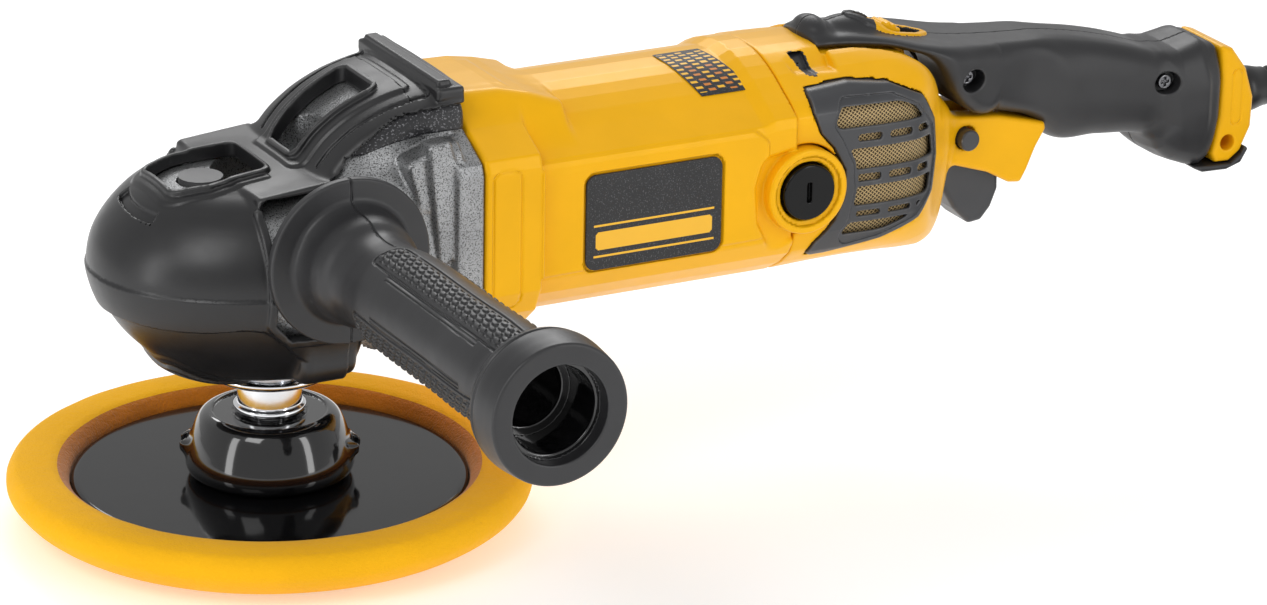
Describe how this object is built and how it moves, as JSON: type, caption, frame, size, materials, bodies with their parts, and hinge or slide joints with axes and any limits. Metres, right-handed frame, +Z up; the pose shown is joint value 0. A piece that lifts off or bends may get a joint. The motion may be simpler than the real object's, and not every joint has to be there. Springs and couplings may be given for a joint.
{
  "type": "rotary polisher",
  "caption": "Corded rotary polisher with a foam pad, right-angle gear head, screw-in side handle, rear trigger grip and a coiled supply cord with its plug.",
  "frame": {"origin": "centre of the foam pad's flat working face, on the spindle axis", "axes": "+Z up along the spindle axis, away from the work; +X from the spindle towards the rear grip and cord; the side handle stands out along -Y"},
  "size_m": [0.6545, 0.315, 0.1651],
  "materials": {
    "foam": "open-cell foam, rough",
    "hook_pile": "hook-and-loop pile",
    "gloss_black": "polished",
    "brass": "turned",
    "bright_steel": "ground",
    "gear_steel": "oiled, dark",
    "winding": "laminations with varnished windings",
    "copper": "turned copper bars",
    "dark_plastic": "fine texture",
    "cast_alloy": "as cast, speckled",
    "black_rubber": "satin, moulded texture",
    "lamination": "stacked sheet",
    "yellow_shell": "glossy moulded nylon",
    "label_black": "printed foil, blank",
    "carbon": "pressed carbon",
    "grey_plastic": "fine texture",
    "mesh": "woven, tan"
  },
  "bodies": {
    "tool": {"gear_case": "cast_alloy", "gear_case_boot": "black_rubber", "bearing_retainer": "bright_steel", "spindle_bearing_lower": "bright_steel", "spindle_bearing_upper": "bright_steel", "shaft_bearing_front": "bright_steel", "shaft_bearing_rear": "bright_steel", "armature_bearing_front": "bright_steel", "armature_bearing_rear": "bright_steel", "gear_plate": "cast_alloy", "case_screw_upper_right": "gear_steel", "case_screw_upper_left": "gear_steel", "case_screw_lower_right": "gear_steel", "case_screw_lower_left": "gear_steel", "stator": "lamination", "motor_housing": "yellow_shell", "label_plate_right": "label_black", "label_plate_left": "label_black", "end_bracket": "dark_plastic", "carbon_brush_right": "carbon", "carbon_brush_left": "carbon", "brush_cap_right": "dark_plastic", "brush_cap_left": "dark_plastic", "rear_housing": "yellow_shell", "vent_cover_right": "grey_plastic", "vent_cover_left": "grey_plastic", "vent_mesh_right": "mesh", "vent_mesh_left": "mesh", "rear_grip_right": "black_rubber", "rear_grip_left": "black_rubber", "end_strip": "yellow_shell", "handle_screw_front": "gear_steel", "handle_screw_rear": "gear_steel", "switch_body": "dark_plastic", "speed_module": "dark_plastic", "side_grip": "black_rubber", "side_handle_stud": "bright_steel", "strain_relief": "black_rubber", "cord_tube": "black_rubber", "cord_coil": "black_rubber", "cord_tail": "black_rubber", "plug": "black_rubber"},
    "spindle_group": {"foam_pad": "foam", "loop_backing": "hook_pile", "backing_plate": "gloss_black", "hub": "gloss_black", "hub_nut": "brass", "spindle": "bright_steel", "ring_gear": "gear_steel"},
    "intermediate": {"intermediate_shaft": "bright_steel", "bevel_pinion": "gear_steel", "intermediate_gear": "gear_steel"},
    "armature": {"armature_shaft": "bright_steel", "armature_core": "winding", "commutator": "copper", "fan": "dark_plastic"},
    "lock_button": {"spindle_lock_button": "dark_plastic"},
    "trigger_lever": {"trigger": "grey_plastic"},
    "lock_on": {"lock_on_button": "grey_plastic"},
    "dial": {"speed_dial": "yellow_shell"}
  },
  "joints": [
    {"name": "spindle_spin", "type": "hinge", "parent": "tool", "child": "spindle_group", "pos_m": [0, 0, 0.05], "axis": [0, 0, 1], "continuous": true},
    {"name": "intermediate_spin", "type": "hinge", "parent": "tool", "child": "intermediate", "pos_m": [0.04, 0, 0.087], "axis": [1, 0, 0], "continuous": true},
    {"name": "armature_spin", "type": "hinge", "parent": "tool", "child": "armature", "pos_m": [0.13, 0, 0.1092], "axis": [1, 0, 0], "continuous": true},
    {"name": "spindle_lock_press", "type": "slide", "parent": "tool", "child": "lock_button", "axis": [0, 0, -1], "range_m": [0, 0.005], "stiffness_N_per_m": 800, "springref_m": -0.002},
    {"name": "trigger_squeeze", "type": "hinge", "parent": "tool", "child": "trigger_lever", "pos_m": [0.27, 0, 0.1034], "axis": [0, -1, 0], "range_deg": [0, 7], "stiffness_Nm_per_rad": 1.5, "springref_deg": -6.88},
    {"name": "lock_on_press", "type": "slide", "parent": "tool", "child": "lock_on", "axis": [0, 1, 0], "range_m": [0, 0.002], "stiffness_N_per_m": 500, "springref_m": -0.002},
    {"name": "dial_turn", "type": "hinge", "parent": "tool", "child": "dial", "pos_m": [0.247, 0, 0.142], "axis": [0, 1, 0], "range_deg": [0, 270]}
  ],
  "couplings": [
    {"joint": "intermediate_spin", "follows": "spindle_spin", "ratio": 3},
    {"joint": "armature_spin", "follows": "spindle_spin", "ratio": -7.5}
  ]
}
